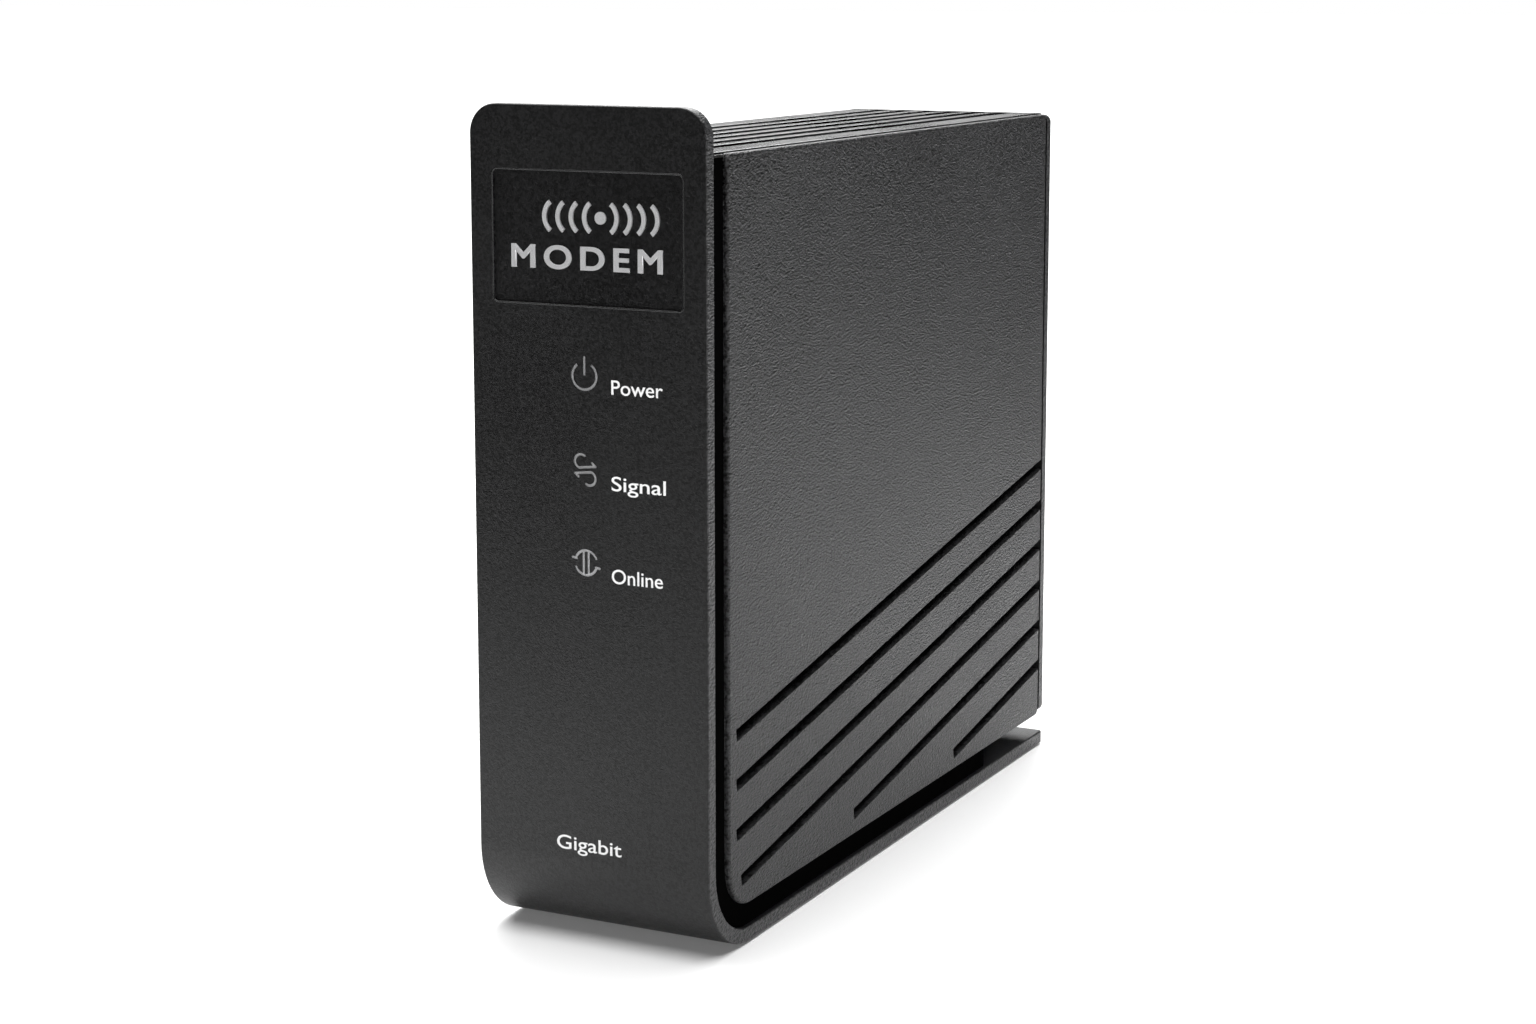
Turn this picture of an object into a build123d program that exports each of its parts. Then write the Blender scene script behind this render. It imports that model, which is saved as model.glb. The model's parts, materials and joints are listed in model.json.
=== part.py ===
from build123d import *
import math
import os

# Cable modem, upright desktop type. Millimetres, +Z up, front face towards -Y.
# Every part is modelled with Y = 0 at the front face of the stand, and save()
# moves it back so that the origin is the middle of the whole object's footprint.

# ---- driving dimensions ----
width = 46.8            # stand and body, across X
height = 150.0          # feet to the top of the front plate
case_depth = 163.0      # front plate to the back of the rear panel
port_reach = 11.0       # how far the coax connector stands out at the back
foot_proud = 0.3        # rubber below the stand
stand_t = 2.8           # moulding thickness of the stand
bend_r = 16.3           # outer bend between front plate and base
plate_corner_r = 5.2    # top corners of the front plate
stand_edge_r = 0.35     # all outer edges of the stand
base_corner_r = 1.0     # rear corners of the base, seen from above
body_front = 7.8        # front wall of the body, behind the gap
body_bottom = 7.4       # underside of the body, above the gap
body_top = 142.0
cover_back = 159.3      # back edge of the two side covers
base_back = 162.2       # back edge of the stand's base
wall_t = 2.0            # front, bottom and top walls of the covers
side_t = 3.0            # side wall, thick enough for the grooves
cover_edge_r = 0.6      # rounding round the outer side faces
cover_corner_r = 1.2    # rear corners of the body, seen from the side
cover_front_r = 0.8     # its top front corner
core_half = 22.4        # half width of the black spacer in the gap
core_rear_half = 14.0   # its narrower rear end, under the rear panel
core_rear_l = 30.0

# diagonal vent grooves in each side cover
groove_count = 6
groove_w = 2.3
groove_depth = 2.4
groove_pitch = 9.1      # straight down, between neighbours
groove_slope = math.radians(9.6)
groove_z = 39.5         # height of the first groove at groove_y
groove_y = 10.6
groove_starts = [10.6, 10.6, 10.6, 12.4, 60.3, 110.0]
vent_w = 1.8            # slits through the groove floor
vent_l = 14.0
vent_pitch = 16.0
vent_end = 2.5          # closed floor left at each end of a groove

# top vent panel, lying between the rims of the two covers
top_half = 22.2
top_t = 2.6
top_proud = 0.3         # ribs stand this far above the covers' rims
top_groove_x = [-14.5, -8.7, -2.9, 2.9, 8.7, 14.5]
top_groove_w = 3.0
top_groove_deep = 1.3
top_rib_r = 0.5         # rounded rib edges
top_tie_w = 3.0         # bridges between the slots in each groove
top_tie_count = 6
top_end_l = 2.5         # solid rear end that closes the grooves
top_end_r = 0.8
top_tongue_t = 2.0      # front end, resting on the spacer and reaching the plate
lip_half = 23.0         # thin lip along the tongue, in line with the covers' rims
lip_t = 0.45
lip_drop = 0.4
ear_w = 1.6             # black ends of the spacer, rising beside the tongue to the lip
fit_gap = 0.1           # clearance between neighbouring mouldings

# nameplate and indicators on the front plate
badge_w = 37.6
badge_h = 23.1
badge_z = 127.1
badge_r = 0.9
badge_deep = 0.9
badge_rim_r = 0.3
badge_t = 0.5
badge_gap = 0.08
emblem_t = 0.3
emblem_x = 2.7
emblem_z = 130.8
emblem_r = 3.2
emblem_arcs = 4
emblem_pitch = 2.65
emblem_line = 0.8
icon_x = -0.7
icon_z = {"power": 103.3, "signal": 86.8, "online": 70.3}
power_r = 2.4           # middle of each symbol's round strokes
online_r = 2.2
signal_r = 1.2
icon_line = 0.5
icon_deep = 0.4
icon_inlay_t = 0.25
pipe_r = 2.4
pipe_hole_r = 2.5
pipe_front = 1.25

# circuit board, upright and parallel to the side covers
board_x = -5.4
board_t = 1.6
board_front = 12.5
board_back = 155.0
board_low = 13.0
board_high = 136.0
board_face = board_x + board_t
screw_r = 1.2
pilot_r = 1.25
board_holes = [(20.0, 22.0), (20.0, 128.0), (132.0, 22.0), (132.0, 128.0)]
processor_y = 78.0
processor_z = 84.0

# rear panel and its connectors
panel_front = 160.2
panel_half = 23.2
panel_low = 7.6
panel_high = 141.8
panel_corner_r = 1.6
panel_edge_r = 0.8
jack_z = {"a": 99.0, "b": 78.0}
jack_w = 16.0           # along Z
jack_h = 13.5           # away from the board
jack_l = 21.0
jack_back = 162.8
socket_w = 11.8
socket_h = 8.2
socket_l = 14.0
socket_high = 6.4       # middle of the plug space above the board
contact_pitch = 1.02
latch_w = 6.0
latch_h = 2.0
coax_x = 2.0
coax_z = 48.0
coax_r = 4.7            # outside of the 3/8-32 thread
washer_t = 0.6
nut_back = case_depth + 2.8
power_x = 1.7
power_z = 23.0
reset_x = -0.8
reset_z = 121.0
reset_r = 1.6
panel_screws = [(-16.8, 17.0), (16.8, 17.0), (-16.8, 133.0), (16.8, 133.0)]
foot_places = [(-15.5, 24.0), (15.5, 24.0), (-15.5, 150.0), (15.5, 150.0)]
foot_r = 4.5
foot_t = 1.3
foot_pocket_r = 4.6
stand_screw_y = [45.0, 95.0, 140.0]

top_face = body_top + top_proud
to_origin = Pos(0, -(case_depth + port_reach) / 2, 0)


# ---- helpers ----
def save(name, shape):
    """Write one node, moved to the shared origin."""
    export_step(to_origin * shape, "parts/" + name + ".step")


def span(x0, x1, y0, y1, z0, z1):
    """A box from its limits along each axis."""
    centre = Pos((x0 + x1) / 2, (y0 + y1) / 2, (z0 + z1) / 2)
    return centre * Box(x1 - x0, y1 - y0, z1 - z0)


def rod_y(x, z, y0, y1, r):
    """A round bar along Y."""
    return Pos(x, (y0 + y1) / 2, z) * Rot(90, 0, 0) * Cylinder(r, y1 - y0)


def rod_x(y, z, x0, x1, r):
    """A round bar along X."""
    return Pos((x0 + x1) / 2, y, z) * Rot(0, 90, 0) * Cylinder(r, x1 - x0)


def ring_x(y, z, x0, x1, r_in, r_out):
    """A flat ring whose axis runs along X."""
    return rod_x(y, z, x0, x1, r_out) - rod_x(y, z, x0 - 1, x1 + 1, r_in)


def rod_z(x, y, z0, z1, r):
    """A round bar along Z."""
    return Pos(x, y, (z0 + z1) / 2) * Cylinder(r, z1 - z0)


def side_prism(outline, x0, x1):
    """Extrude an outline drawn in Y and Z across X."""
    return Pos(x0, 0, 0) * extrude(Plane.YZ * outline, x1 - x0)


def front_prism(outline, y0, y1):
    """Extrude an outline drawn in X and Z along Y."""
    back = Plane(origin=(0, y1, 0), x_dir=(1, 0, 0), z_dir=(0, -1, 0))
    return extrude(back * outline, y1 - y0)


def bent_strip(front, low, thick, r, top, back):
    """L outline in Y and Z with a round bend, of one thickness."""
    s = math.sin(math.radians(45))
    inner = r - thick
    mid = r * (1 - s)
    mid_in = r - inner * s
    edges = [
        Line((front, top), (front, low + r)),
        ThreePointArc((front, low + r), (front + mid, low + mid), (front + r, low)),
        Line((front + r, low), (back, low)),
        Line((back, low), (back, low + thick)),
        Line((back, low + thick), (front + r, low + thick)),
        ThreePointArc(
            (front + r, low + thick), (front + mid_in, low + mid_in), (front + thick, low + r)
        ),
        Line((front + thick, low + r), (front + thick, top)),
        Line((front + thick, top), (front, top)),
    ]
    return make_face(Wire(edges))


def body_outline(grow=0.0):
    """Side view of the body, grown or shrunk evenly."""
    y0 = body_front - grow
    y1 = cover_back + grow
    z0 = body_bottom - grow
    z1 = body_top + grow
    r = bend_r - body_front + grow
    c = max(cover_corner_r + grow, 0.3)
    f = max(cover_front_r + grow, 0.3)
    s = math.sin(math.radians(45))
    edges = [
        Line((y0, z1 - f), (y0, z0 + r)),
        ThreePointArc((y0, z0 + r), (y0 + r * (1 - s), z0 + r * (1 - s)), (y0 + r, z0)),
        Line((y0 + r, z0), (y1 - c, z0)),
        ThreePointArc((y1 - c, z0), (y1 - c + c * s, z0 + c - c * s), (y1, z0 + c)),
        Line((y1, z0 + c), (y1, z1 - c)),
        ThreePointArc((y1, z1 - c), (y1 - c + c * s, z1 - c + c * s), (y1 - c, z1)),
        Line((y1 - c, z1), (y0 + f, z1)),
        ThreePointArc((y0 + f, z1), (y0 + f - f * s, z1 - f + f * s), (y0, z1 - f)),
    ]
    return make_face(Wire(edges))


def ring_arc(r, line, start, sweep):
    """A flat arc stroke about the origin, angles in degrees from +X."""
    points = []
    for radius in (r - line / 2, r + line / 2):
        for angle in (start, start + sweep / 2, start + sweep):
            a = math.radians(angle)
            points.append((radius * math.cos(a), radius * math.sin(a)))
    edges = [
        ThreePointArc(points[0], points[1], points[2]),
        Line(points[2], points[5]),
        ThreePointArc(points[5], points[4], points[3]),
        Line(points[3], points[0]),
    ]
    return make_face(Wire(edges))


def bar(x0, z0, x1, z1, line=icon_line):
    """A straight stroke between two points, with round ends."""
    length = math.hypot(x1 - x0, z1 - z0) + line
    turn = math.degrees(math.atan2(z1 - z0, x1 - x0))
    return Pos((x0 + x1) / 2, (z0 + z1) / 2) * Rot(0, 0, turn) * SlotOverall(length, line)


# ---- stand: front plate and base in one moulding ----
def icon_strokes(kind):
    """Outline of one indicator symbol, about its own centre."""
    if kind == "power":
        return ring_arc(power_r, icon_line, 125, 290) + bar(0, 0.3, 0, power_r + 0.9)
    if kind == "signal":
        loop = Pos(-0.85, 1.5) * ring_arc(signal_r, icon_line, 45, 215)
        arrow = loop + bar(-1.05, 0.35, 2.05, 0.7) + bar(1.4, 1.25, 2.05, 0.7)
        return arrow + Rot(0, 0, 180) * arrow
    shape = Sketch()
    for turn in (0, 180):
        half = ring_arc(online_r, icon_line, 18, 144)
        half += bar(-online_r - 0.5, 0.8, -online_r + 0.3, 0.7)
        shape += Rot(0, 0, turn) * half
    for x in (-0.5, 0.5):
        shape += Pos(x, 0) * Rectangle(icon_line, online_r * 2 - 0.1)
    return shape


def icon_prism(kind, y0, y1):
    """A symbol's strokes as a solid in the front plate."""
    return front_prism(Pos(icon_x, icon_z[kind]) * icon_strokes(kind), y0, y1)


def badge_rim(stand):
    """The edges where the nameplate's recess meets the front face."""
    rim = []
    for edge in stand.edges():
        middle = edge.center()
        in_recess = abs(middle.X) < badge_w / 2 + 0.5 and abs(middle.Z - badge_z) < badge_h / 2 + 0.5
        if in_recess and abs(middle.Y) < 0.01:
            rim.append(edge)
    return rim


def make_stand():
    """Front plate and base in one bent moulding, with recesses for what it carries."""
    strip = bent_strip(0, foot_proud, stand_t, bend_r - foot_proud, height, base_back)
    stand = side_prism(strip, -width / 2, width / 2)
    view_h = height - foot_proud
    arch = Pos(0, foot_proud + view_h / 2) * RectangleRounded(width, view_h, plate_corner_r)
    foot_fill = Pos(0, foot_proud + bend_r) * Rectangle(width, 2 * bend_r)
    stand &= front_prism(arch + foot_fill, -1, base_back + 1)
    rear_corners = stand.faces().sort_by(Axis.Y)[-1].edges().filter_by(Axis.Z)
    stand = fillet(rear_corners, base_corner_r)
    stand = fillet(stand.edges(), stand_edge_r)
    badge = Pos(0, badge_z) * RectangleRounded(badge_w, badge_h, badge_r)
    stand -= front_prism(badge, -1, badge_deep)
    stand = fillet(badge_rim(stand), badge_rim_r)
    for kind in icon_z:
        stand -= icon_prism(kind, -1, icon_deep)
        stand -= rod_y(icon_x, icon_z[kind], pipe_front, stand_t + 1, pipe_hole_r)
    for x, y in foot_places:
        stand -= rod_z(x, y, 0, foot_t, foot_pocket_r)
    for y in stand_screw_y:
        stand -= rod_z(0, y, 0, foot_proud + stand_t + 1, screw_r + 0.1)
        stand -= rod_z(0, y, 0, foot_proud + 1.4, 2.8)
    return stand


def make_nameplate():
    """Thin plate that drops into the recess of the front face."""
    wide = badge_w - 2 * badge_gap
    tall = badge_h - 2 * badge_gap
    outline = Pos(0, badge_z) * RectangleRounded(wide, tall, badge_r - badge_gap)
    return front_prism(outline, badge_deep - badge_t, badge_deep)


def make_emblem():
    """A dot with signal arcs spreading to both sides, standing on the nameplate."""
    shape = Sketch() + Circle(1.1)
    for n in range(emblem_arcs):
        for turn in (0, 180):
            arc = Pos(n * emblem_pitch, 0) * ring_arc(emblem_r, emblem_line, -50, 100)
            shape += Rot(0, 0, turn) * arc
    face = badge_deep - badge_t
    return front_prism(Pos(emblem_x, emblem_z) * shape, face - emblem_t, face)


def make_light_pipe(z):
    """Clear rod from the lamp to the back of a symbol, with bevelled ends."""
    pipe = rod_y(icon_x, z, pipe_front, board_front - 0.3, pipe_r)
    return chamfer(pipe.edges().filter_by(GeomType.CIRCLE), 0.3)


def make_foot(x, y):
    """Round rubber pad with a softened rim."""
    pad = rod_z(x, y, 0, foot_t, foot_r)
    return fillet(pad.faces().sort_by(Axis.Z)[0].edges(), 0.25)


# ---- body ----
def around_body():
    """The space in front of and below the body that the spacer may fill."""
    big = Pos(cover_back / 2, height / 2) * Rectangle(cover_back * 2, height * 2)
    return big - body_outline()


def make_spacer():
    """Black strip that fills the gap between stand and body, set in from the sides."""
    thick = body_front - stand_t
    r = bend_r - stand_t
    strip_top = top_face - top_tongue_t - fit_gap
    strip = bent_strip(stand_t, foot_proud + stand_t, thick, r, strip_top, cover_back - 5)
    spacer = side_prism(strip, -core_half, core_half)
    spacer &= side_prism(around_body(), -core_half, core_half)
    ear_top = top_face - lip_drop - lip_t - fit_gap
    for side in (-1, 1):
        inner, outer = sorted((side * (core_half - ear_w), side * core_half))
        spacer += span(inner, outer, stand_t, body_front, strip_top - 1, ear_top)
        inner, outer = sorted((side * core_rear_half, side * (core_half + 1)))
        spacer -= span(inner, outer, cover_back - core_rear_l, cover_back, 0, body_bottom + 1)
    for kind in icon_z:
        spacer -= rod_y(icon_x, icon_z[kind], 0, body_front + 1, pipe_hole_r)
    for y in stand_screw_y:
        spacer -= rod_z(0, y, 0, body_bottom - 0.8, pilot_r)
    return spacer


def groove_cut(index, deep, across, first, last, middle_x):
    """Cutter for one diagonal groove, from first to last along Y."""
    slope = math.tan(groove_slope)
    z_first = groove_z - index * groove_pitch + (first - groove_y) * slope
    length = (last - first) / math.cos(groove_slope)
    middle_y = (first + last) / 2
    middle_z = z_first + (last - first) / 2 * slope
    cutter = Box(deep, length, across)
    return Pos(middle_x, middle_y, middle_z) * Rot(math.degrees(groove_slope), 0, 0) * cutter


def make_cover(side):
    """One side cover: an open tray with grooved side wall. side is +1 or -1."""
    outer = side_prism(body_outline(), 0, width / 2)
    rim = outer.faces().sort_by(Axis.X)[-1].edges()
    outer = fillet(rim, cover_edge_r)
    inside = side_prism(body_outline(-wall_t), -1, width / 2 - side_t)
    cover = outer - inside
    cover -= span(-1, width / 2 - side_t, cover_back - wall_t - 1, cover_back + 1, 0, height)
    cover -= span(-1, top_half + fit_gap, 0, cover_back + 1, top_face - top_t - fit_gap, height)
    for index in range(groove_count):
        first = groove_starts[index]
        middle = width / 2 - groove_depth / 2 + 1
        cover -= groove_cut(index, groove_depth + 2, groove_w, first, cover_back + 5, middle)
        start = first + vent_end
        while start + vent_l < cover_back - wall_t - vent_end:
            cover -= groove_cut(index, 8, vent_w, start, start + vent_l, width / 2 - side_t)
            start += vent_pitch
    for x, z in panel_screws:
        if x > 0:
            boss = rod_y(x, z, cover_back - 14, cover_back, 3.4)
            boss += span(x, width / 2 - side_t + 0.5, cover_back - 14, cover_back, z - 3.4, z + 3.4)
            cover += boss
            cover -= rod_y(x, z, cover_back - 11, cover_back + 1, pilot_r)
    if side < 0:
        cover = mirror(cover, about=Plane.YZ)
        for y, z in board_holes:
            cover += rod_x(y, z, -width / 2 + side_t - 0.5, board_x, 3.0)
            cover -= rod_x(y, z, board_x - 9, board_x + 1, pilot_r)
    for kind in icon_z:
        cover -= rod_y(icon_x, icon_z[kind], 0, body_front + wall_t + 1, pipe_hole_r)
    return cover


def make_top_panel():
    """Ribbed grille that closes the top and reaches the front plate."""
    profile = Pos(0, top_face - top_t / 2) * Rectangle(2 * top_half, top_t)
    for x in top_groove_x:
        profile -= Pos(x, top_face) * Rectangle(top_groove_w, 2 * top_groove_deep)
    rib_corners = profile.vertices().group_by(Axis.Y)[-1]
    profile = fillet(rib_corners, top_rib_r)
    panel = front_prism(profile, stand_t, cover_back)
    end_front = cover_back - top_end_l
    end = span(-top_half, top_half, end_front, cover_back, top_face - top_t, top_face)
    end_edge = end.edges().filter_by(Axis.X).group_by(Axis.Z)[-1].sort_by(Axis.Y)[-1]
    panel &= span(-width, width, 0, end_front, 0, height)
    panel += fillet(end_edge, top_end_r)
    front_wall_back = body_front + wall_t + 0.2
    panel -= span(-top_half - 1, top_half + 1, 0, front_wall_back, 0, top_face - top_tongue_t)
    lip_top = top_face - lip_drop
    for side in (-1, 1):
        inner, outer = sorted((side * (core_half - ear_w - fit_gap), side * lip_half))
        panel -= span(inner, outer, 0, body_front + fit_gap, 0, lip_top - lip_t)
    panel += span(-lip_half, lip_half, stand_t, body_front - fit_gap, lip_top - lip_t, lip_top)
    first = front_wall_back + 3
    reach = (end_front - first) / top_tie_count
    half = top_groove_w / 2
    for x in top_groove_x:
        for n in range(top_tie_count):
            y0 = first + n * reach
            panel -= span(x - half, x + half, y0, y0 + reach - top_tie_w, 0, height)
    return panel


def make_rear_panel():
    """Connector plate with openings and a spigot that plugs into the covers."""
    tall = panel_high - panel_low
    outline = RectangleRounded(2 * panel_half, tall, panel_corner_r)
    panel = front_prism(Pos(0, panel_low + tall / 2) * outline, panel_front, case_depth)
    panel = fillet(panel.faces().sort_by(Axis.Y)[-1].edges(), panel_edge_r)
    spigot = span(-19.6, 19.6, cover_back, panel_front, 10.6, 138.4)
    spigot -= span(-17.0, 17.0, cover_back - 1, panel_front + 1, 13.2, 135.8)
    panel += spigot
    for z in jack_z.values():
        panel -= span(board_face - 0.1, board_face + jack_h + 0.1, panel_front - 1, case_depth + 1,
                      z - jack_w / 2 - 0.1, z + jack_w / 2 + 0.1)
    panel -= rod_y(coax_x, coax_z, panel_front - 1, case_depth + 1, coax_r + 0.1)
    panel -= rod_y(power_x, power_z, panel_front - 1, case_depth + 1, 4.1)
    panel -= rod_y(reset_x, reset_z, panel_front - 1, case_depth + 1, reset_r + 0.3)
    for x, z in panel_screws:
        panel -= rod_y(x, z, cover_back - 1, case_depth + 1, screw_r + 0.1)
        panel -= rod_y(x, z, case_depth - 1.6, case_depth + 1, 2.8)
    return panel


# ---- board and what is soldered to it ----
def make_board():
    """Bare circuit board with its four screw holes."""
    board = span(board_x, board_face, board_front, board_back, board_low, board_high)
    for y, z in board_holes:
        board -= rod_x(y, z, board_x - 1, board_face + 1, screw_r + 0.1)
    return board


def on_board(y, z, length, tall, high):
    """A rectangular component standing on the board, by its centre and size."""
    return span(board_face, board_face + high, y - length / 2, y + length / 2, z - tall / 2, z + tall / 2)


def make_processor(y, z):
    """Ball-grid package: a green substrate with a smaller black cap on top."""
    return on_board(y, z, 23, 23, 1.0) + on_board(y, z, 19, 19, 1.8)


def leaded_chip(y, z, length, tall, high, pins):
    """Moulded chip with a row of gull-wing pins along each long side."""
    chip = Pos(0.2, 0, 0) * on_board(y, z, length, tall, high - 0.2)
    chip = chamfer(chip.faces().sort_by(Axis.X)[-1].edges(), 0.25)
    pitch = (length - 1) / pins
    for side in (-1, 1):
        edge = z + side * tall / 2
        for n in range(pins):
            pin_y = y + (n - (pins - 1) / 2) * pitch
            chip += on_board(pin_y, edge + side * 0.6, pitch * 0.45, 0.8, 0.2)
            chip += on_board(pin_y, edge + side * 0.1, pitch * 0.45, 0.6, high * 0.55)
    return chip


def make_crystal(y, z):
    """Low metal can with round ends and a soldered rim."""
    rim = Plane.YZ * Pos(y, z) * SlotOverall(11.0, 4.6, rotation=90)
    can_top = Plane.YZ * Pos(y, z) * SlotOverall(10.2, 3.8, rotation=90)
    tall = Pos(board_face, 0, 0) * extrude(can_top, 3.4)
    tall = fillet(tall.faces().sort_by(Axis.X)[-1].edges(), 0.5)
    return tall + Pos(board_face, 0, 0) * extrude(rim, 0.4)


def make_power_inductor(y, z):
    """Square ferrite block with cut corners and the round winding drum in its top."""
    block = on_board(y, z, 9, 9, 4.5)
    block = chamfer(block.edges().filter_by(Axis.X), 1.4)
    face = board_face + 4.5
    return block - (rod_x(y, z, face - 0.5, face + 1, 3.6) - rod_x(y, z, face - 0.5, face + 1, 2.2))


def make_tuner_shield(y, z):
    """Tin can over the radio tuner, with rows of vent holes in its lid."""
    shell = on_board(y, z, 38, 26, 5.0) - Pos(-0.3, 0, 0) * on_board(y, z, 37.4, 25.4, 5.0)
    for row in range(3):
        for column in range(5):
            hole_y = y + (column - 2) * 6.4
            hole_z = z + (row - 1) * 6.4
            shell -= rod_x(hole_y, hole_z, board_face + 3, board_face + 6, 0.9)
    return shell


def make_lamp(z):
    """Side-looking lamp: a square base with a domed lens towards the light pipe."""
    x = board_face + 2.0
    base = span(board_face, board_face + 4.0, board_front + 1.0, board_front + 3.0, z - 1.6, z + 1.6)
    dome = rod_y(x, z, board_front + 0.1, board_front + 1.5, 1.3)
    return base + fillet(dome.faces().sort_by(Axis.Y)[0].edges(), 0.8)


def make_heat_sink(y, z, base_low):
    """Square aluminium sink with straight fins, above the processor."""
    half = 18
    fin_pitch = 4.2
    sink = span(base_low, base_low + 2, y - half, y + half, z - half, z + half)
    for n in range(9):
        fin_z = z + (n - 4) * fin_pitch
        sink += span(base_low + 2, base_low + 9, y - half, y + half, fin_z - 0.6, fin_z + 0.6)
    return sink


def can(y, z, r, high):
    """Electrolytic capacitor: crimped can with a rounded and scored top."""
    top = board_face + high
    body = rod_x(y, z, board_face, top, r)
    body = fillet(body.edges().filter_by(GeomType.CIRCLE), 0.4)
    body -= ring_x(y, z, board_face + 1.2, board_face + 1.7, r - 0.3, r + 1)
    body -= span(top - 0.2, top + 1, y - r + 1, y + r - 1, z - 0.15, z + 0.15)
    return body - span(top - 0.2, top + 1, y - 0.15, y + 0.15, z - r + 1, z + r - 1)


# ---- fasteners ----
def screw_y(x, z, head_back, length):
    """Pan-head screw along Y with its head towards the back."""
    head = rod_y(x, z, head_back - 1.4, head_back, 2.6)
    head -= span(x - 0.35, x + 0.35, head_back - 0.8, head_back + 1, z - 1.7, z + 1.7)
    head -= span(x - 1.7, x + 1.7, head_back - 0.8, head_back + 1, z - 0.35, z + 0.35)
    return head + rod_y(x, z, head_back - length, head_back - 1, screw_r)


def screw_x(y, z, head_low, length):
    """Pan-head screw along X with its head on the component side."""
    head = rod_x(y, z, head_low, head_low + 1.4, 2.4)
    head -= span(head_low + 0.6, head_low + 2, y - 1.5, y + 1.5, z - 0.3, z + 0.3)
    return head + rod_x(y, z, head_low - length, head_low + 0.2, screw_r)


def screw_z(x, y, head_low, length):
    """Pan-head screw along Z with its head underneath."""
    head = rod_z(x, y, head_low, head_low + 1.0, 2.6)
    head -= span(x - 1.7, x + 1.7, y - 0.35, y + 0.35, head_low - 1, head_low + 0.5)
    return head + rod_z(x, y, head_low + 0.9, head_low + length, screw_r)


# ---- connectors ----
def socket_space(z):
    """The plug space of an Ethernet socket, with its latch slot."""
    x_mid = board_face + socket_high
    front = jack_back - socket_l
    space = span(x_mid - socket_h / 2, x_mid + socket_h / 2, front, jack_back + 1,
                 z - socket_w / 2, z + socket_w / 2)
    latch = span(x_mid + socket_h / 2, x_mid + socket_h / 2 + latch_h, front, jack_back + 1,
                 z - latch_w / 2, z + latch_w / 2)
    return space + latch


def make_jack_shield(z):
    """Folded steel can round the socket's top, bottom, sides and front."""
    low = jack_back - jack_l
    outer = span(board_face, board_face + jack_h, low, jack_back, z - jack_w / 2, z + jack_w / 2)
    inner = span(board_face - 1, board_face + jack_h - 0.4, low + 0.4, jack_back + 1,
                 z - jack_w / 2 + 0.4, z + jack_w / 2 - 0.4)
    return outer - inner


def make_jack_housing(z):
    """Black plastic insert with the plug space."""
    low = jack_back - jack_l + 0.4
    block = span(board_face, board_face + jack_h - 0.4, low, jack_back - 0.3,
                 z - jack_w / 2 + 0.4, z + jack_w / 2 - 0.4)
    return block - socket_space(z)


def make_jack_contacts(z):
    """Eight gold spring wires, slanting up from the socket floor."""
    floor = board_face + socket_high - socket_h / 2
    front = jack_back - socket_l
    wires = []
    for n in range(8):
        wire_z = z + (n - 3.5) * contact_pitch
        slant = make_face(Polyline((floor, front), (floor, jack_back - 4), (floor + 2.6, front + 2),
                                   (floor + 2.6, front), close=True))
        wires.append(Pos(0, 0, wire_z - 0.2) * extrude(slant, 0.4))
    return Compound(children=wires)


def make_coax_shell():
    """F connector: threaded barrel, flange behind the panel and a square root."""
    shell = rod_y(coax_x, coax_z, panel_front - 8, case_depth + port_reach, coax_r)
    shell += rod_y(coax_x, coax_z, panel_front - 1.5, panel_front, 6.5)
    root = span(board_face, coax_x + 5.5, panel_front - 12, panel_front - 1.5, coax_z - 5.5, coax_z + 5.5)
    shell += root
    shell -= rod_y(coax_x, coax_z, panel_front - 6, case_depth + port_reach + 1, 3.6)
    relief = Circle(coax_r + 1) - Circle(coax_r - 0.4)
    shell -= front_prism(Pos(coax_x, coax_z) * relief, nut_back, nut_back + 0.5)
    return shell


def make_coax_insulator():
    """White insulator inside the barrel, with a hole for the cable's centre wire."""
    plug = rod_y(coax_x, coax_z, panel_front - 6, case_depth + port_reach - 0.6, 3.6)
    return plug - rod_y(coax_x, coax_z, case_depth, case_depth + port_reach, 0.7)


def make_coax_nut():
    """Thin hexagon nut that clamps the connector to the panel."""
    low = case_depth + washer_t
    nut = front_prism(Pos(coax_x, coax_z) * RegularPolygon(6.35, 6, major_radius=False), low, nut_back)
    crown = rod_y(coax_x, coax_z, low, nut_back, 7.2)
    nut &= chamfer(crown.edges().filter_by(GeomType.CIRCLE), 0.5)
    return nut - rod_y(coax_x, coax_z, low - 1, nut_back + 1, coax_r + 0.05)


def make_coax_washer():
    """Flat washer between the nut and the panel."""
    ring = Circle(6.6) - Circle(coax_r + 0.1)
    return front_prism(Pos(coax_x, coax_z) * ring, case_depth, case_depth + washer_t)


def make_power_housing():
    """Barrel power socket: square root with a round mouth through the panel."""
    house = span(board_face, power_x + 5.2, panel_front - 11, panel_front, power_z - 4.6, power_z + 4.6)
    house += rod_y(power_x, power_z, panel_front - 1, case_depth - 0.2, 4.0)
    house -= rod_y(power_x, power_z, panel_front - 9, case_depth + 1, 3.0)
    return house


def make_power_pin():
    """Centre pin on a flange at the bottom of the power socket."""
    pin = rod_y(power_x, power_z, panel_front - 9, case_depth - 1.2, 1.0)
    pin = fillet(pin.faces().sort_by(Axis.Y)[-1].edges(), 0.5)
    return pin + rod_y(power_x, power_z, panel_front - 9, panel_front - 8.2, 2.4)


def make_reset_switch():
    """Switch body with the cavity that holds the button's collar."""
    y1 = panel_front - 5
    body = span(board_face, reset_x + 3.2, y1 - 4.4, y1, reset_z - 3.2, reset_z + 3.2)
    body -= rod_y(reset_x, reset_z, y1 - 3.0, y1 - 1.0, 2.4)
    body -= rod_y(reset_x, reset_z, y1 - 2.0, y1 + 1, reset_r + 0.06)
    return body


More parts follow.
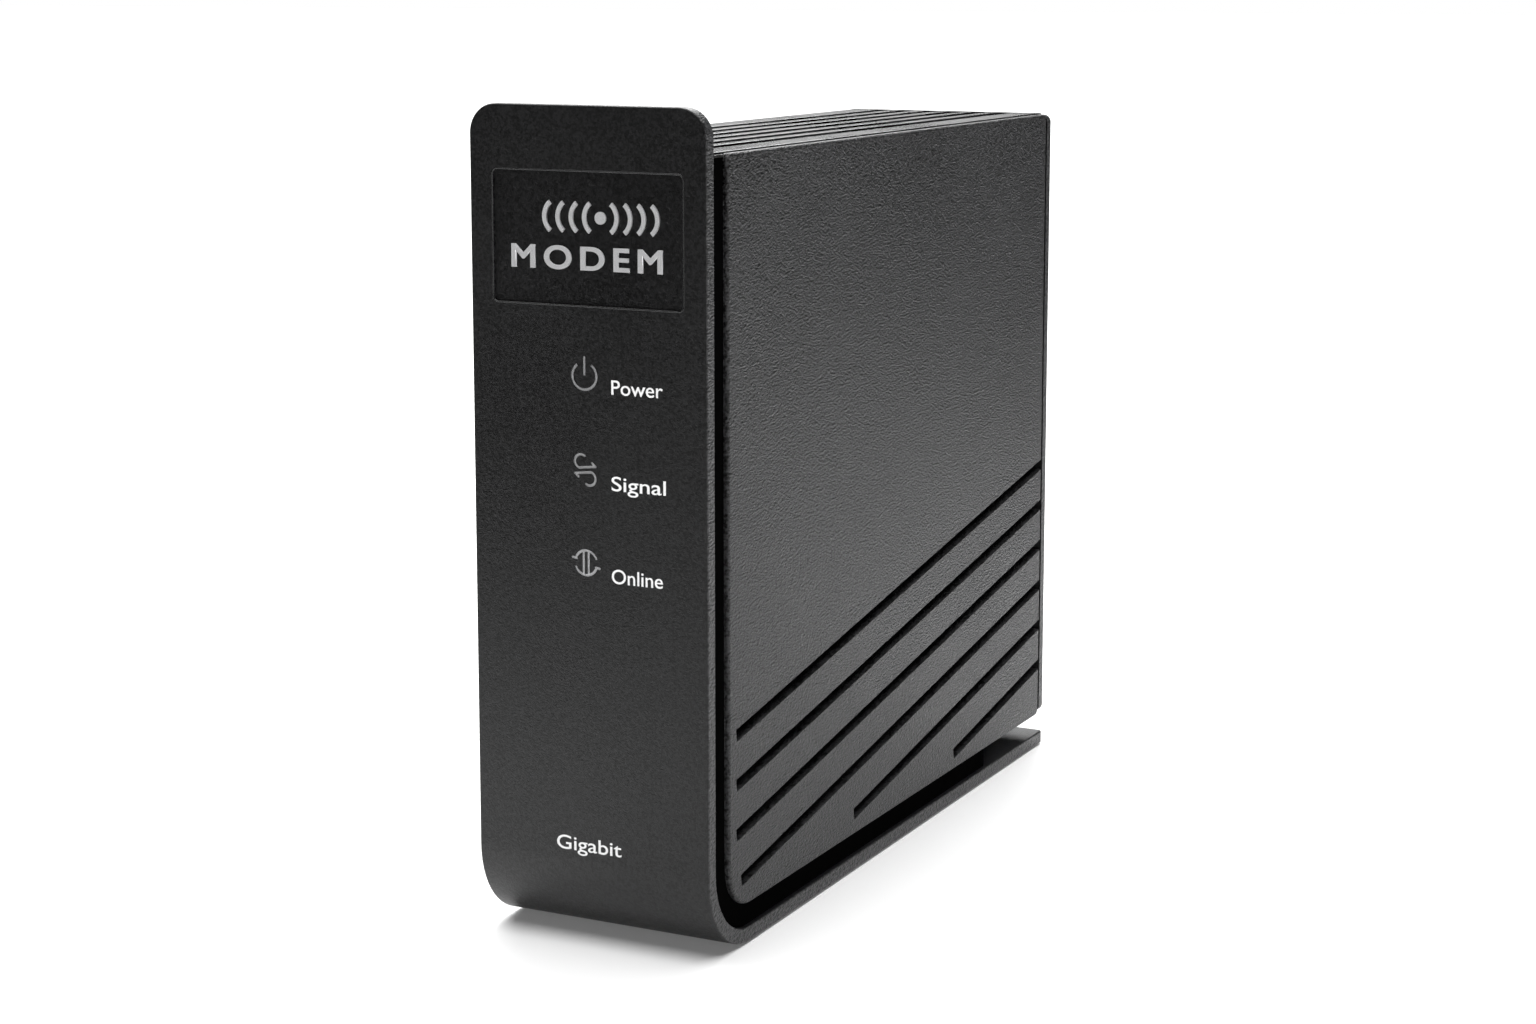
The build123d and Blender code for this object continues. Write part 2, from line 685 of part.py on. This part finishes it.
def make_reset_button():
    """Plunger that slides towards the front, with a collar inside the switch."""
    y1 = panel_front - 5
    button = rod_y(reset_x, reset_z, y1 - 1.3, case_depth - 1.2, reset_r)
    button = fillet(button.faces().sort_by(Axis.Y)[-1].edges(), 0.4)
    button += rod_y(reset_x, reset_z, y1 - 1.65, y1 - 1.05, 2.2)
    return button


# ---- write every node ----
os.makedirs("parts", exist_ok=True)

save("stand", make_stand())
save("nameplate", make_nameplate())
save("nameplate_emblem", make_emblem())
for kind in icon_z:
    save("icon_inlay_" + kind, icon_prism(kind, icon_deep - icon_inlay_t, icon_deep))
    save("light_pipe_" + kind, make_light_pipe(icon_z[kind]))

save("spacer", make_spacer())
save("right_cover", make_cover(1))
save("left_cover", make_cover(-1))
save("top_vent_panel", make_top_panel())
save("rear_panel", make_rear_panel())

save("main_board", make_board())
save("processor", make_processor(processor_y, processor_z))
save("thermal_pad", Pos(1.8, 0, 0) * on_board(processor_y, processor_z, 18, 18, 0.6))
save("heat_sink", make_heat_sink(processor_y, processor_z, board_face + 2.4))
save("memory_chip", leaded_chip(78, 114, 14, 9, 1.2, 12))
save("flash_chip", leaded_chip(44, 84, 8, 6, 1.2, 4))
save("ethernet_chip", leaded_chip(108, 88, 12, 10, 1.2, 10))
save("ethernet_transformers", leaded_chip(126, 99, 13, 12, 5.5, 8) + leaded_chip(126, 78, 13, 12, 5.5, 8))
save("tuner_shield", make_tuner_shield(118, 48))
save("tuner_chip", leaded_chip(118, 48, 9, 7, 1.0, 8))
save("crystal", make_crystal(56, 104))
save("capacitors", can(135, 31, 4, 12) + can(122, 28, 4, 12) + can(108, 28, 3.15, 8) + can(98, 28, 3.15, 8))
save("inductors", make_power_inductor(70, 34) + make_power_inductor(84, 34))
save("indicator_leds", Compound(children=[make_lamp(z) for z in icon_z.values()]))

for name, z in jack_z.items():
    save("ethernet_shield_" + name, make_jack_shield(z))
    save("ethernet_housing_" + name, make_jack_housing(z))
    save("ethernet_contacts_" + name, make_jack_contacts(z))
save("coax_shell", make_coax_shell())
save("coax_insulator", make_coax_insulator())
save("coax_nut", make_coax_nut())
save("coax_washer", make_coax_washer())
save("power_socket", make_power_housing())
save("power_pin", make_power_pin())
save("reset_switch", make_reset_switch())
save("reset_button", make_reset_button())

feet = [make_foot(x, y) for x, y in foot_places]
save("rubber_feet", Compound(children=feet))
save("board_screws", Compound(children=[screw_x(y, z, board_face, 8) for y, z in board_holes]))
save("panel_screws", Compound(children=[screw_y(x, z, case_depth - 0.2, 12) for x, z in panel_screws]))
save("stand_screws", Compound(children=[screw_z(0, y, foot_proud + 0.4, 5.6) for y in stand_screw_y]))
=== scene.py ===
import json
import math

import bmesh
import bpy
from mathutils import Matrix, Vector


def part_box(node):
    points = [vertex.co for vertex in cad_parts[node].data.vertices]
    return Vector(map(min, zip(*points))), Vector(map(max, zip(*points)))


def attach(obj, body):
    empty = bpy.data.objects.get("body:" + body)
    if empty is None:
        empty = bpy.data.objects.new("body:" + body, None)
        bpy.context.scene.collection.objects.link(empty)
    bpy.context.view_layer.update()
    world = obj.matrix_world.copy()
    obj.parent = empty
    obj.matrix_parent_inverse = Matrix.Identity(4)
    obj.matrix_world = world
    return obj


# Cable modem in a plain white studio. Metres, front plate towards -Y, +Z up.

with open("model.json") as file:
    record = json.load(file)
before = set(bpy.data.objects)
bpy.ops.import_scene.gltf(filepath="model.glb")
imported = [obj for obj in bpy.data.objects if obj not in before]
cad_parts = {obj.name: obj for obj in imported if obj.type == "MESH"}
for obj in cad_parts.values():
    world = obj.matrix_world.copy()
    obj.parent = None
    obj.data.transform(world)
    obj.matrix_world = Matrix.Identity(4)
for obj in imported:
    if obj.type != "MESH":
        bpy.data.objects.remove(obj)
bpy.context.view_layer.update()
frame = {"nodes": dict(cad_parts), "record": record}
nodes = frame["nodes"]
MM = 0.001
BODY = "modem_body"
scene = bpy.context.scene


# ---- node helpers ----
class Shader:
    """Short names for building one material's node tree."""

    def __init__(self, name):
        self.material = bpy.data.materials.new(name)
        self.material.use_nodes = True
        self.tree = self.material.node_tree
        self.tree.nodes.clear()
        self.out = self.tree.nodes.new("ShaderNodeOutputMaterial")
        self.bsdf = self.tree.nodes.new("ShaderNodeBsdfPrincipled")
        self.link(self.bsdf.outputs[0], self.out.inputs["Surface"])
        self.coord = self.tree.nodes.new("ShaderNodeTexCoord").outputs["Object"]

    def link(self, a, b):
        self.tree.links.new(a, b)

    def set(self, **values):
        """Constant values on the shader's own sockets."""
        for key, value in values.items():
            self.bsdf.inputs[key.replace("_", " ")].default_value = value

    def stretch(self, x, y, z):
        """The object coordinates scaled along each axis. A factor under 1 draws the pattern out."""
        node = self.tree.nodes.new("ShaderNodeMapping")
        node.inputs["Scale"].default_value = (x, y, z)
        self.link(self.coord, node.inputs["Vector"])
        return node.outputs[0]

    def noise(self, size, detail=2.0, rough=0.5, distortion=0.0, vector=None):
        """Noise whose blobs are about size metres wide."""
        node = self.tree.nodes.new("ShaderNodeTexNoise")
        node.inputs["Scale"].default_value = 1.0 / size
        node.inputs["Detail"].default_value = detail
        node.inputs["Roughness"].default_value = rough
        node.inputs["Distortion"].default_value = distortion
        self.link(vector or self.coord, node.inputs["Vector"])
        return node.outputs["Fac"]

    def cells(self, size, vector=None):
        """Rounded cells about size metres wide."""
        node = self.tree.nodes.new("ShaderNodeTexVoronoi")
        node.feature = "SMOOTH_F1"
        node.inputs["Scale"].default_value = 1.0 / size
        self.link(vector or self.coord, node.inputs["Vector"])
        return node.outputs["Distance"]

    def math(self, operation, a, b):
        """One math node. Each of a and b is a number or a socket."""
        node = self.tree.nodes.new("ShaderNodeMath")
        node.operation = operation
        for socket, value in zip(node.inputs, (a, b)):
            if isinstance(value, (int, float)):
                socket.default_value = value
            else:
                self.link(value, socket)
        return node.outputs[0]

    def mix(self, a, share_a, b, share_b):
        """The sum of two values, each times its share."""
        return self.math("ADD", self.math("MULTIPLY", a, share_a), self.math("MULTIPLY", b, share_b))

    def fit(self, value, low, high, start=0.3, end=0.7):
        """Value from start..end mapped to low..high."""
        node = self.tree.nodes.new("ShaderNodeMapRange")
        node.inputs["From Min"].default_value = start
        node.inputs["From Max"].default_value = end
        node.inputs["To Min"].default_value = low
        node.inputs["To Max"].default_value = high
        self.link(value, node.inputs["Value"])
        return node.outputs[0]

    def colours(self, value, first, second, start=0.35, end=0.65):
        """Base colour that goes from first to second as value goes from start to end."""
        node = self.tree.nodes.new("ShaderNodeValToRGB")
        node.color_ramp.elements[0].position = start
        node.color_ramp.elements[0].color = (*first, 1.0)
        node.color_ramp.elements[1].position = end
        node.color_ramp.elements[1].color = (*second, 1.0)
        self.link(value, node.inputs["Fac"])
        self.link(node.outputs["Color"], self.bsdf.inputs["Base Color"])

    def roughness(self, value):
        self.link(value, self.bsdf.inputs["Roughness"])

    def side_mask(self):
        """One on faces that look along X, zero on the others."""
        geometry = self.tree.nodes.new("ShaderNodeNewGeometry")
        split = self.tree.nodes.new("ShaderNodeSeparateXYZ")
        self.link(geometry.outputs["Normal"], split.inputs[0])
        return self.fit(self.math("ABSOLUTE", split.outputs["X"], 0.0), 0.0, 1.0, 0.4, 0.8)

    def lighten(self, factor):
        """Multiply the base colour by a varying factor."""
        node = self.tree.nodes.new("ShaderNodeVectorMath")
        node.operation = "SCALE"
        self.link(self.bsdf.inputs["Base Color"].links[0].from_socket, node.inputs[0])
        self.link(factor, node.inputs["Scale"])
        self.link(node.outputs[0], self.bsdf.inputs["Base Color"])

    def bump(self, height, depth):
        """Bump of the given depth in metres. A second call stacks on the first."""
        node = self.tree.nodes.new("ShaderNodeBump")
        node.inputs["Distance"].default_value = depth
        node.inputs["Strength"].default_value = 1.0
        self.link(height, node.inputs["Height"])
        earlier = self.bsdf.inputs["Normal"].links
        if earlier:
            self.link(earlier[0].from_socket, node.inputs["Normal"])
        self.link(node.outputs["Normal"], self.bsdf.inputs["Normal"])


def scaled(colour, factor):
    return tuple(channel * factor for channel in colour)


GRAIN_LENGTHWISE = 0.55    # the grain is drawn out a little along Y
PAINTED_SIDE_SHEEN = 4.2            # how many times paler the faces that look along X are painted, a painted sheen for the light their side edges catch


def grained_plastic(name, colour, rough, grain, depth, folds=0.0, specular=0.5, speckle=0.0,
                    vary=0.6, edge_gain=0.0):
    """Moulded plastic with a spark-eroded grain: pits and short worm-like folds, grain metres wide.

    depth and folds are the depths of the pits and the folds, speckle is how far the roughness
    varies from grain to grain, and vary how far the colour does. With an edge_gain, faces that
    look along X have pits that many times deeper and a paler painted tone, a painted sheen for
    the light that these side faces catch.
    """
    s = Shader(name)
    along = s.stretch(1.0, GRAIN_LENGTHWISE, 1.0)
    fine = s.noise(grain * 0.9, rough=0.7, vector=along)
    pits = s.mix(s.cells(grain, vector=along), 0.7, fine, 0.6)
    mask = s.side_mask() if edge_gain else None
    if mask:
        pits = s.math("MULTIPLY", pits, s.fit(mask, 1.0, edge_gain, 0.0, 1.0))
    s.bump(pits, depth)
    if folds:
        worms = s.noise(grain * 1.9, detail=1.5, distortion=0.6, vector=along)
        s.bump(s.math("PINGPONG", s.math("MULTIPLY", worms, 5.0), 0.5), folds)
    broad = s.noise(0.03, detail=4.0)
    mottle = s.noise(grain * 1.5, detail=1.0, distortion=0.4, vector=along)
    tone = s.mix(mottle, 0.85, broad, 0.15)
    s.colours(tone, scaled(colour, 1.0 - vary), scaled(colour, 1.0 + vary), 0.44, 0.56)
    # Faces that look along X get a paler base colour: a painted sheen for the light their side edges
    # catch.
    if mask:
        s.lighten(s.fit(mask, 1.0, PAINTED_SIDE_SHEEN, 0.0, 1.0))
    gloss = s.fit(broad, rough - 0.02, rough + 0.04)
    s.roughness(s.math("ADD", gloss, s.fit(mottle, -speckle, speckle)))
    s.set(Specular_IOR_Level=specular)
    return s.material


def smooth_plastic(name, colour, rough, specular=0.5):
    """Fine-textured plastic with slight flow marks."""
    s = Shader(name)
    flow = s.noise(0.004, detail=4.0, distortion=1.0)
    s.colours(flow, scaled(colour, 0.88), scaled(colour, 1.12))
    s.roughness(s.fit(flow, rough - 0.05, rough + 0.05))
    s.bump(s.noise(0.0003), 0.00001)
    s.set(Specular_IOR_Level=specular)
    return s.material


def plated_metal(name, colour, rough, brush=(1.0, 1.0, 1.0)):
    """Plated or brushed metal, brushed along the axis whose factor is small."""
    s = Shader(name)
    lines = s.noise(0.0004, detail=3.0, vector=s.stretch(*brush))
    s.colours(lines, scaled(colour, 0.85), colour)
    s.roughness(s.fit(lines, rough - 0.06, rough + 0.08))
    s.bump(lines, 0.000006)
    s.set(Metallic=1.0)
    return s.material


def silver_paint(name, colour):
    """Hot-stamped silver: half metallic, with a fine flake."""
    s = Shader(name)
    flake = s.noise(0.00012)
    s.colours(flake, scaled(colour, 0.82), colour)
    s.roughness(s.fit(flake, 0.28, 0.42))
    s.bump(flake, 0.000004)
    s.set(Metallic=0.6)
    return s.material


def ink(name, colour):
    """Screen-printed ink with a faint mottle."""
    s = Shader(name)
    mottle = s.noise(0.0005, detail=3.0)
    s.colours(mottle, scaled(colour, 0.94), colour)
    s.roughness(s.fit(mottle, 0.45, 0.6))
    s.bump(mottle, 0.000004)
    return s.material


def clear_acrylic(name):
    """Light pipe with a slight haze."""
    s = Shader(name)
    haze = s.noise(0.002)
    s.colours(haze, (0.86, 0.88, 0.9), (0.95, 0.96, 0.97))
    s.roughness(s.fit(haze, 0.08, 0.18))
    s.set(Transmission_Weight=0.8, IOR=1.49)
    return s.material


def circuit_board(name):
    """Green solder mask with paler traces showing through it."""
    s = Shader(name)
    flat = s.tree.nodes.new("ShaderNodeMapping")
    flat.inputs["Rotation"].default_value = (0.0, math.radians(90), 0.0)
    s.link(s.coord, flat.inputs["Vector"])
    traces = s.tree.nodes.new("ShaderNodeTexBrick")
    traces.inputs["Scale"].default_value = 180.0
    traces.inputs["Mortar Size"].default_value = 0.012
    traces.inputs["Color1"].default_value = (0.006, 0.07, 0.03, 1.0)
    traces.inputs["Color2"].default_value = (0.008, 0.085, 0.036, 1.0)
    traces.inputs["Mortar"].default_value = (0.02, 0.16, 0.07, 1.0)
    s.link(flat.outputs[0], traces.inputs["Vector"])
    s.link(traces.outputs["Color"], s.bsdf.inputs["Base Color"])
    s.roughness(s.fit(s.noise(0.003), 0.25, 0.4))
    s.bump(traces.outputs["Fac"], 0.00002)
    return s.material


# ---- materials, one for each of the record's slots ----
GRAIN = 0.4 * MM
materials = {
    # The stand's faces that look along X get a painted sheen through edge_gain: a paler base colour.
    "stand_plastic": grained_plastic(
        "stand_plastic", (0.006, 0.006, 0.0063), 0.41, GRAIN, depth=0.00003, folds=0.00004,
        specular=0.42, edge_gain=10.0),
    "cover_plastic": grained_plastic(
        "cover_plastic", (0.019, 0.019, 0.0199), 0.42, GRAIN, depth=0.0003, folds=0.0001,
        specular=0.36, speckle=0.14, vary=0.95),
    # Near black with no specular: painted shade that keeps the gap between plate and body black.
    "spacer_plastic": smooth_plastic("spacer_plastic", (0.002, 0.002, 0.002), 0.8, specular=0.0),
    "badge_gloss": grained_plastic(
        "badge_plastic", (0.005, 0.005, 0.0053), 0.3, GRAIN, depth=0.000012, folds=0.00004),
    "silver_print": silver_paint("silver_trim", (0.9, 0.9, 0.91)),
    "icon_grey": silver_paint("icon_grey", (0.62, 0.62, 0.63)),
    "clear_acrylic": clear_acrylic("clear_acrylic"),
    "board_green": circuit_board("solder_mask"),
    "chip_black": smooth_plastic("chip_epoxy", (0.02, 0.02, 0.021), 0.55),
    "thermal_grey": smooth_plastic("thermal_pad", (0.35, 0.37, 0.42), 0.8),
    "alu": plated_metal("heat_sink_metal", (0.75, 0.75, 0.77), 0.38, brush=(1.0, 0.1, 1.0)),
    "tin_steel": plated_metal("tin_plate", (0.36, 0.36, 0.37), 0.34, brush=(1.0, 0.2, 1.0)),
    "nickel": plated_metal("nickel_plate", (0.3, 0.29, 0.27), 0.24),
    "gold_wire": plated_metal("gold_plate", (0.83, 0.6, 0.24), 0.2),
    "insulator_white": smooth_plastic("insulator_white", (0.3, 0.295, 0.275), 0.55, specular=0.3),
    "port_black": smooth_plastic("port_black", (0.018, 0.018, 0.019), 0.42),
    "can_sleeve": smooth_plastic("can_sleeve", (0.03, 0.04, 0.09), 0.28),
    "ferrite": smooth_plastic("ferrite", (0.07, 0.07, 0.075), 0.6),
    "led_white": smooth_plastic("led_lens", (0.85, 0.84, 0.78), 0.3),
    "button_red": smooth_plastic("button_red", (0.45, 0.03, 0.03), 0.38),
    "foot_rubber": grained_plastic(
        "foot_rubber", (0.018, 0.018, 0.018), 0.8, GRAIN, depth=0.00003, specular=0.25),
    "screw_black": plated_metal("screw_black", (0.09, 0.09, 0.095), 0.38),
    "screw_steel": plated_metal("screw_zinc", (0.62, 0.62, 0.64), 0.32),
}
white_ink = ink("white_ink", (0.95, 0.95, 0.95))
rim_gloss = smooth_plastic("rim_gloss", (0.012, 0.012, 0.0125), 0.22, specular=0.6)

# The vent panel is in the covers' slot, but its ribs are smoother and glossier.
finishes = {
    "top_vent_panel": grained_plastic(
        "grille_plastic", (0.008, 0.008, 0.0084), 0.26, 0.5 * MM, depth=0.00001),
}
slots = {row["node"]: row["material_slot"] for row in frame["record"]["subparts"]}
for name, node in nodes.items():
    node.data.materials.clear()
    node.data.materials.append(finishes.get(name, materials[slots[name]]))


def add_piece(name, data, material):
    """A visible piece that rides on the modem's body."""
    piece = bpy.data.objects.new(name, data)
    scene.collection.objects.link(piece)
    data.materials.clear()
    data.materials.append(material)
    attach(piece, BODY)


# ---- lettering ----
FONT_CAP = 0.729           # height of the built-in face's capitals at size 1


def lettering(name, words, left, right, base, cap, face, thick, material, bold, gap=1.0):
    """Plain words on a face that looks towards -Y, stretched to fit between left and right.

    base is the height of the base line, cap the height of a capital, thick how far the letters
    stand out, bold how much their outline is widened and gap the space between them.
    """
    curve = bpy.data.curves.new(name, "FONT")
    curve.body = words
    curve.extrude = 0.5
    curve.bevel_depth = bold
    curve.bevel_resolution = 2
    curve.space_character = gap
    text = bpy.data.objects.new(name + "_curve", curve)
    scene.collection.objects.link(text)
    bpy.context.view_layer.update()
    mesh = bpy.data.meshes.new_from_object(text.evaluated_get(bpy.context.evaluated_depsgraph_get()))
    bpy.data.objects.remove(text)
    xs = [v.co.x for v in mesh.vertices]
    start = min(xs)
    wide = (right - left) / (max(xs) - start)
    for v in mesh.vertices:
        x = left + (v.co.x - start) * wide
        z = base + v.co.y * cap / FONT_CAP
        v.co = Vector((x, face - v.co.z * thick, z))
    add_piece(name, mesh, material)


plate_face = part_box("stand")[0].y
badge_low, badge_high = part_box("nameplate")

# Left end, right end and base line of each printed word, in millimetres.
label_rows = {
    "Power": (4.7, 14.8, 100.45),
    "Signal": (4.6, 15.3, 83.6),
    "Online": (4.5, 14.6, 67.2),
    "Gigabit": (-7.2, 6.0, 17.9),
}
label_cap = 2.65 * MM
ink_t = 0.04 * MM
for words, (left, right, base) in label_rows.items():
    lettering("label_" + words.lower(), words, left * MM, right * MM, base * MM, label_cap,
              plate_face, ink_t, white_ink, bold=0.006)

letters_cap = 4.1 * MM
letters_t = 0.28 * MM
letters_face = badge_low.y - 0.12 * MM
lettering("nameplate_letters", "MODEM", -15.2 * MM, 14.8 * MM, 121.8 * MM, letters_cap,
          letters_face, letters_t, materials["silver_print"], bold=0.022, gap=1.35)


# ---- bright bead round the nameplate ----
def bead(name, low, high, y, corner, radius, material):
    """A thin round moulding along a rounded rectangle on the front face."""
    curve = bpy.data.curves.new(name, "CURVE")
    curve.dimensions = "3D"
    curve.bevel_depth = radius
    curve.bevel_resolution = 4
    corners = (
        (high.x - corner, high.z - corner),
        (low.x + corner, high.z - corner),
        (low.x + corner, low.z + corner),
        (high.x - corner, low.z + corner),
    )
    corner_steps = 8
    points = []
    for quarter, (x, z) in enumerate(corners):
        for k in range(corner_steps + 1):
            a = math.radians(90 * (quarter + k / corner_steps))
            points.append((x + corner * math.cos(a), y, z + corner * math.sin(a), 1.0))
    spline = curve.splines.new("POLY")
    spline.points.add(len(points) - 1)
    for place, point in zip(points, spline.points):
        point.co = place
    spline.use_cyclic_u = True
    add_piece(name, curve, material)


rim_r = 0.17 * MM
rim_corner = 1.0 * MM
rim_out = Vector((0.2, 0.0, 0.2)) * MM
bead("nameplate_rim", badge_low - rim_out, badge_high + rim_out, plate_face + 0.12 * MM,
     rim_corner, rim_r, rim_gloss)


# ---- coax barrel's screw thread ----
TURN_STEPS = 48
FADE_STEPS = TURN_STEPS / 2    # the ridge rises over half a turn at each end
# One ridge in section: along the axis in pitches, and outwards in depths.
RIDGE = ((-0.46, -0.02), (-0.08, 1.0), (0.08, 1.0), (0.46, -0.02))


def thread(name, x, z, y0, y1, r, pitch, deep, material):
    """One helical ridge round an axis along Y, fading out at both ends."""
    steps = int((y1 - y0) / pitch * TURN_STEPS)
    bm = bmesh.new()
    rows = []
    for n in range(steps + 1):
        turn = n / TURN_STEPS
        a = 2 * math.pi * turn
        rise = deep * min(1.0, n / FADE_STEPS, (steps - n) / FADE_STEPS)
        row = []
        for along, out in RIDGE:
            radius = r + out * (rise if out > 0 else deep)
            place = (x + radius * math.cos(a), y0 + (turn + along) * pitch, z + radius * math.sin(a))
            row.append(bm.verts.new(place))
        rows.append(row)
    for first, second in zip(rows, rows[1:]):
        for k in range(len(RIDGE)):
            m = (k + 1) % len(RIDGE)
            bm.faces.new((first[k], first[m], second[m], second[k]))
    bm.faces.new(rows[0])
    bm.faces.new(list(reversed(rows[-1])))
    bmesh.ops.recalc_face_normals(bm, faces=bm.faces)
    mesh = bpy.data.meshes.new(name)
    bm.to_mesh(mesh)
    bm.free()
    add_piece(name, mesh, material)


nut_low, nut_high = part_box("coax_nut")
nut_mid = (nut_low + nut_high) / 2
thread_start = nut_high.y + 1.0 * MM
thread_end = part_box("coax_shell")[1].y - 0.8 * MM
thread_root = 4.68 * MM        # just under the barrel's surface
thread_pitch = 0.794 * MM      # 32 turns to the inch
thread_deep = 0.12 * MM
thread("coax_thread", nut_mid.x, nut_mid.z, thread_start, thread_end, thread_root,
       thread_pitch, thread_deep, materials["nickel"])


# ---- floor, light and camera ----
def flat_sheet(name, x0, x1, y0, y1, z, material):
    """A level rectangle that is part of the studio and faces up."""
    mesh = bpy.data.meshes.new(name)
    corners = [(x0, y0, z), (x1, y0, z), (x1, y1, z), (x0, y1, z)]
    mesh.from_pydata(corners, [], [(0, 1, 2, 3)])
    mesh.materials.append(material)
    obj = bpy.data.objects.new(name, mesh)
    scene.collection.objects.link(obj)
    return obj


def floor(half, glow):
    """White paper that glows a little, as a lit sweep does."""
    s = Shader("floor_paper")
    s.colours(s.noise(0.4, detail=3.0), (0.86, 0.86, 0.86), (0.88, 0.88, 0.88))
    s.set(Roughness=0.9, Specular_IOR_Level=0.1)
    s.set(Emission_Color=(1.0, 1.0, 1.0, 1.0), Emission_Strength=glow)
    flat_sheet("studio_floor", -half, half, -half, half, 0.0, s.material)


def dark_flag(name, x0, x1, y0, y1):
    """A black card just above the floor that only reflections see, to deepen the plastic's tone."""
    s = Shader(name)
    s.colours(s.noise(0.05), (0.01, 0.01, 0.01), (0.012, 0.012, 0.012))
    s.set(Roughness=0.9, Specular_IOR_Level=0.0)
    obj = flat_sheet(name, x0, x1, y0, y1, 0.002, s.material)
    obj.visible_camera = False
    obj.visible_shadow = False
    obj.visible_diffuse = False


def softbox(name, place, aim, size_x, size_y, power):
    """A rectangular lamp at place that points at aim."""
    data = bpy.data.lights.new(name, "AREA")
    data.shape = "RECTANGLE"
    data.size = size_x
    data.size_y = size_y
    data.energy = power
    light = bpy.data.objects.new(name, data)
    scene.collection.objects.link(light)
    light.location = place
    light.rotation_euler = (Vector(aim) - Vector(place)).to_track_quat("-Z", "Y").to_euler()


def sky(strength):
    """Very soft light from straight above."""
    data = bpy.data.lights.new("sky", "SUN")
    data.energy = strength
    data.angle = math.radians(70)
    light = bpy.data.objects.new("sky", data)
    scene.collection.objects.link(light)


def world_light(ambient):
    """Dim light from all round, with a white backdrop behind the object."""
    world = bpy.data.worlds.new("studio")
    world.use_nodes = True
    tree = world.node_tree
    background = tree.nodes["Background"]
    path = tree.nodes.new("ShaderNodeLightPath")
    mix = tree.nodes.new("ShaderNodeMix")
    mix.data_type = "RGBA"
    mix.inputs["A"].default_value = (ambient, ambient, ambient, 1.0)
    mix.inputs["B"].default_value = (1.0, 1.0, 1.0, 1.0)
    tree.links.new(path.outputs["Is Camera Ray"], mix.inputs["Factor"])
    tree.links.new(mix.outputs["Result"], background.inputs["Color"])
    scene.world = world


floor(12.0, glow=0.12)
dark_flag("flag_front", -3.0, 0.3, -3.0, -0.26)
dark_flag("flag_side", 0.03, 3.5, 0.38, 3.5)
world_light(0.03)
sky(4.4)
softbox("top_sheen", (-1.6, 2.2, 1.5), (0.0, 0.0, 0.12), 2.2, 0.9, 44.0)
softbox("floor_glow", (-0.15, 0.45, 0.8), (0.25, 0.3, 0.0), 0.5, 0.5, 6.5)
softbox("front_fill", (-0.3, -2.2, 1.2), (0.0, -0.08, 0.08), 1.0, 0.8, 1.5)

camera_place = Vector((239.6, -498.0, 171.7)) * MM
camera_turn = 26.48            # degrees left of +Y
camera_down = 8.48             # degrees below level
camera_data = bpy.data.cameras.new("camera")
camera_data.lens = 65.0
camera_data.sensor_width = 36.0
camera_data.shift_y = -0.0794
camera = bpy.data.objects.new("camera", camera_data)
scene.collection.objects.link(camera)
camera.location = camera_place
camera.rotation_euler = (math.radians(90 - camera_down), 0.0, math.radians(camera_turn))
scene.camera = camera
scene.view_settings.view_transform = "Standard"
